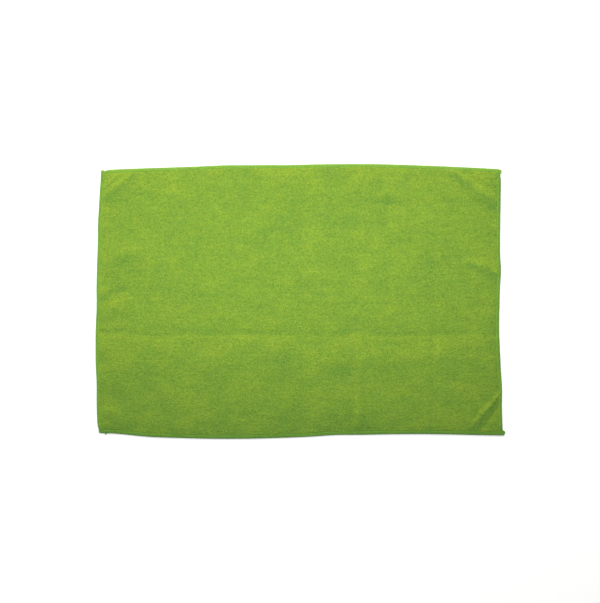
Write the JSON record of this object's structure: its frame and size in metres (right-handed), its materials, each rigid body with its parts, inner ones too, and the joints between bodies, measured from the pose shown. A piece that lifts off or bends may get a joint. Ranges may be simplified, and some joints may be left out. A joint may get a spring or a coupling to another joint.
{
  "type": "quick dry towel",
  "caption": "Rectangular lime green terry travel towel with pile on both faces and overlocked edges, lying flat, that folds in three like a letter.",
  "frame": {"origin": "centre of the underside of the towel lying flat", "axes": "+X along the long side, +Y to the rear edge, the upper one in the view from above, +Z out of the face"},
  "size_m": [0.6084, 0.4077, 0.0028],
  "materials": {
    "pile": "matte",
    "ground_knit": "matte",
    "thread": "matte",
    "thread_tail": "matte"
  },
  "bodies": {
    "middle": {"ground_knit_middle": "ground_knit", "face_pile_middle": "pile", "back_pile_middle": "pile", "left_hem_needle_thread_middle": "thread", "left_hem_upper_looper_middle": "thread", "left_hem_lower_looper_middle": "thread", "right_hem_needle_thread_middle": "thread", "right_hem_upper_looper_middle": "thread", "right_hem_lower_looper_middle": "thread"},
    "front_third": {"ground_knit_front": "ground_knit", "face_pile_front": "pile", "back_pile_front": "pile", "front_hem_needle_thread": "thread", "front_hem_upper_looper": "thread", "front_hem_lower_looper": "thread", "left_hem_needle_thread_front": "thread", "left_hem_upper_looper_front": "thread", "left_hem_lower_looper_front": "thread", "right_hem_needle_thread_front": "thread", "right_hem_upper_looper_front": "thread", "right_hem_lower_looper_front": "thread", "front_left_thread_tail": "thread_tail", "front_right_thread_tail": "thread_tail"},
    "rear_third": {"ground_knit_rear": "ground_knit", "face_pile_rear": "pile", "back_pile_rear": "pile", "rear_hem_needle_thread": "thread", "rear_hem_upper_looper": "thread", "rear_hem_lower_looper": "thread", "left_hem_needle_thread_rear": "thread", "left_hem_upper_looper_rear": "thread", "left_hem_lower_looper_rear": "thread", "right_hem_needle_thread_rear": "thread", "right_hem_upper_looper_rear": "thread", "right_hem_lower_looper_rear": "thread", "rear_left_thread_tail": "thread_tail", "rear_right_thread_tail": "thread_tail"}
  },
  "joints": [
    {"name": "front_third_fold", "type": "hinge", "parent": "middle", "child": "front_third", "pos_m": [0, -0.066, 0.0044], "axis": [-1, 0, 0], "range_deg": [0, 179.9]},
    {"name": "rear_third_fold", "type": "hinge", "parent": "middle", "child": "rear_third", "pos_m": [0, 0.074, 0.0067], "axis": [1, 0, 0], "range_deg": [0, 179.9]}
  ]
}
